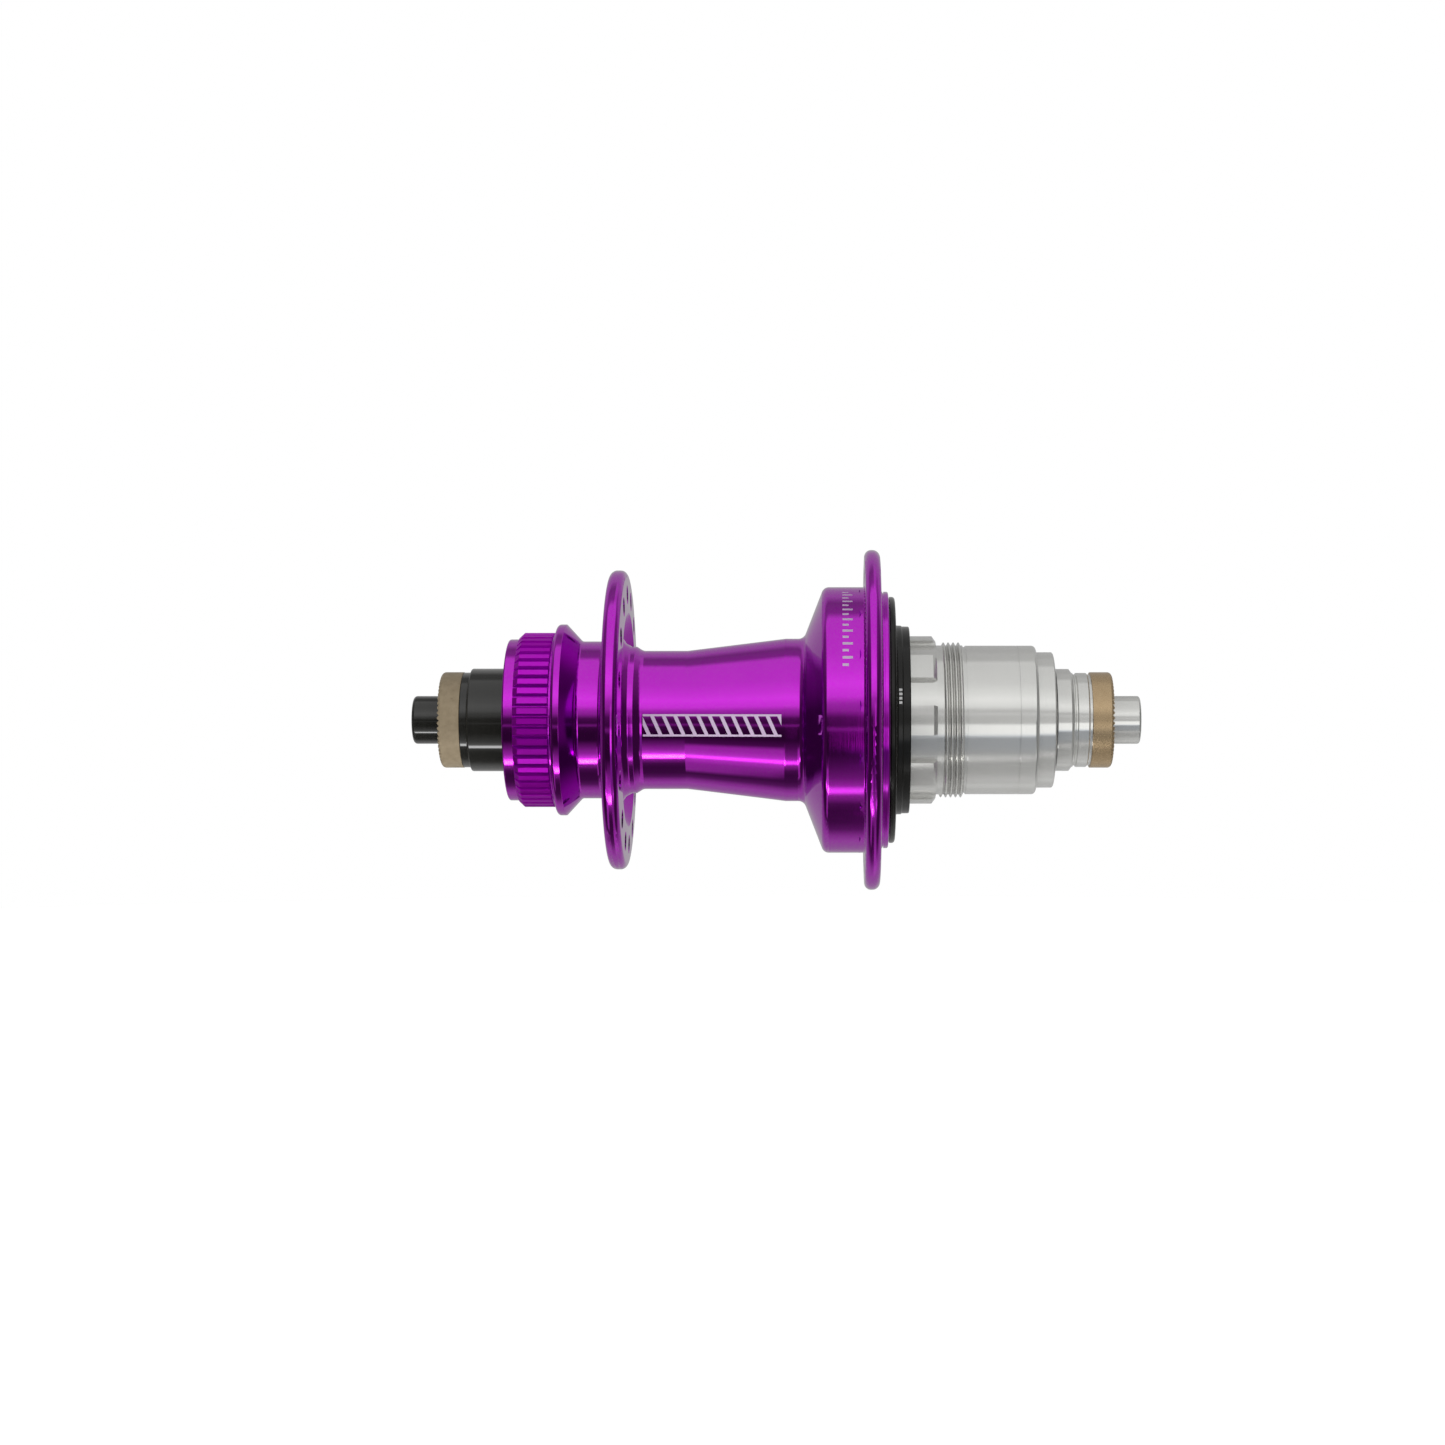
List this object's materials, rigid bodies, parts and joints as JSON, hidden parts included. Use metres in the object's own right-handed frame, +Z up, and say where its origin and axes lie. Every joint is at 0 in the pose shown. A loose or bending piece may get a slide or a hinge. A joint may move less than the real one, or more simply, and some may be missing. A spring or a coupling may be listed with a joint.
{
  "type": "rear bicycle hub",
  "caption": "Rear disc-brake bicycle hub: purple flanged shell with rotor spline, pawl freewheel, splined cassette driver and quick-release end caps.",
  "frame": {"origin": "on the axle centre line, halfway between the two serrated clamping faces and between the axle tips", "axes": "+X along the axle to the drive (cassette) side, +Z up; +Y is the direction of travel when the drive side is on the right"},
  "size_m": [0.1466, 0.0686, 0.0686],
  "materials": {
    "purple_anodised": "polished, then clear purple anodised",
    "black_anodised": "polished, then black anodised",
    "silver_aluminium": "turned, clear anodised",
    "driver_aluminium": "turned, clear anodised, satin",
    "bronze_plated_steel": "satin bronze-coloured plating",
    "o_ring_rubber": "matte",
    "seal_black": "satin black",
    "bearing_seal_rubber": "matte",
    "bearing_steel": "ground",
    "ball_steel": "polished",
    "cage_plastic": "moulded",
    "ratchet_steel": "hardened",
    "spring_steel": "blued",
    "pawl_steel": "hardened"
  },
  "bodies": {
    "axle": {"axle_tube": "silver_aluminium", "left_end_cap": "black_anodised", "right_end_cap": "silver_aluminium", "left_grip_ring": "bronze_plated_steel", "right_grip_ring": "bronze_plated_steel", "end_cap_o_rings": "o_ring_rubber", "drive_side_spacer": "silver_aluminium", "driver_spacer_tube": "silver_aluminium", "left_bearing_inner_race": "bearing_steel", "right_bearing_inner_race": "bearing_steel", "driver_inner_bearing_inner_race": "bearing_steel", "driver_outer_bearing_inner_race": "bearing_steel"},
    "hub_shell": {"hub_shell": "purple_anodised", "ratchet_ring": "ratchet_steel", "left_bearing_outer_race": "bearing_steel", "left_bearing_seals": "bearing_seal_rubber", "right_bearing_outer_race": "bearing_steel", "right_bearing_seals": "bearing_seal_rubber"},
    "driver": {"driver_body": "driver_aluminium", "driver_seal": "seal_black", "pawl_springs": "spring_steel", "driver_circlip": "spring_steel", "driver_inner_bearing_outer_race": "bearing_steel", "driver_inner_bearing_seals": "bearing_seal_rubber", "driver_outer_bearing_outer_race": "bearing_steel", "driver_outer_bearing_seals": "bearing_seal_rubber"},
    "left_ball_set": {"left_bearing_balls": "ball_steel", "left_bearing_cage": "cage_plastic"},
    "right_ball_set": {"right_bearing_balls": "ball_steel", "right_bearing_cage": "cage_plastic"},
    "driver_inner_ball_set": {"driver_inner_bearing_balls": "ball_steel", "driver_inner_bearing_cage": "cage_plastic"},
    "driver_outer_ball_set": {"driver_outer_bearing_balls": "ball_steel", "driver_outer_bearing_cage": "cage_plastic"},
    "pawl_1": {"pawl_1": "pawl_steel"},
    "pawl_2": {"pawl_2": "pawl_steel"},
    "pawl_3": {"pawl_3": "pawl_steel"},
    "pawl_4": {"pawl_4": "pawl_steel"},
    "pawl_5": {"pawl_5": "pawl_steel"},
    "pawl_6": {"pawl_6": "pawl_steel"}
  },
  "joints": [
    {"name": "shell_spin", "type": "hinge", "parent": "axle", "child": "hub_shell", "pos_m": [0, 0, 0], "axis": [1, 0, 0], "continuous": true},
    {"name": "driver_spin", "type": "hinge", "parent": "axle", "child": "driver", "pos_m": [0.03, 0, 0], "axis": [1, 0, 0], "continuous": true},
    {"name": "left_balls_orbit", "type": "hinge", "parent": "axle", "child": "left_ball_set", "pos_m": [0, 0, 0], "axis": [1, 0, 0], "continuous": true},
    {"name": "right_balls_orbit", "type": "hinge", "parent": "axle", "child": "right_ball_set", "pos_m": [0, 0, 0], "axis": [1, 0, 0], "continuous": true},
    {"name": "driver_inner_balls_orbit", "type": "hinge", "parent": "axle", "child": "driver_inner_ball_set", "pos_m": [0, 0, 0], "axis": [1, 0, 0], "continuous": true},
    {"name": "driver_outer_balls_orbit", "type": "hinge", "parent": "axle", "child": "driver_outer_ball_set", "pos_m": [0, 0, 0], "axis": [1, 0, 0], "continuous": true},
    {"name": "pawl_1_swing", "type": "hinge", "parent": "driver", "child": "pawl_1", "pos_m": [0.0155, 0, 0.0176], "axis": [1, 0, 0], "range_deg": [0, 6]},
    {"name": "pawl_2_swing", "type": "hinge", "parent": "driver", "child": "pawl_2", "pos_m": [0.0155, -0.01506, 0.00911], "axis": [1, 0, 0], "range_deg": [0, 6]},
    {"name": "pawl_3_swing", "type": "hinge", "parent": "driver", "child": "pawl_3", "pos_m": [0.0155, -0.01558, -0.00818], "axis": [1, 0, 0], "range_deg": [0, 6]},
    {"name": "pawl_4_swing", "type": "hinge", "parent": "driver", "child": "pawl_4", "pos_m": [0.0155, 0, -0.0176], "axis": [1, 0, 0], "range_deg": [0, 6]},
    {"name": "pawl_5_swing", "type": "hinge", "parent": "driver", "child": "pawl_5", "pos_m": [0.0155, 0.01506, -0.00911], "axis": [1, 0, 0], "range_deg": [0, 6]},
    {"name": "pawl_6_swing", "type": "hinge", "parent": "driver", "child": "pawl_6", "pos_m": [0.0155, 0.01558, 0.00818], "axis": [1, 0, 0], "range_deg": [0, 6]}
  ],
  "couplings": [
    {"joint": "left_balls_orbit", "follows": "shell_spin", "ratio": 0.57778},
    {"joint": "right_balls_orbit", "follows": "shell_spin", "ratio": 0.58447},
    {"joint": "driver_inner_balls_orbit", "follows": "driver_spin", "ratio": 0.58447},
    {"joint": "driver_outer_balls_orbit", "follows": "driver_spin", "ratio": 0.57128},
    {"joint": "pawl_2_swing", "follows": "pawl_1_swing", "ratio": 1},
    {"joint": "pawl_3_swing", "follows": "pawl_1_swing", "ratio": 1},
    {"joint": "pawl_4_swing", "follows": "pawl_1_swing", "ratio": 1},
    {"joint": "pawl_5_swing", "follows": "pawl_1_swing", "ratio": 1},
    {"joint": "pawl_6_swing", "follows": "pawl_1_swing", "ratio": 1}
  ]
}
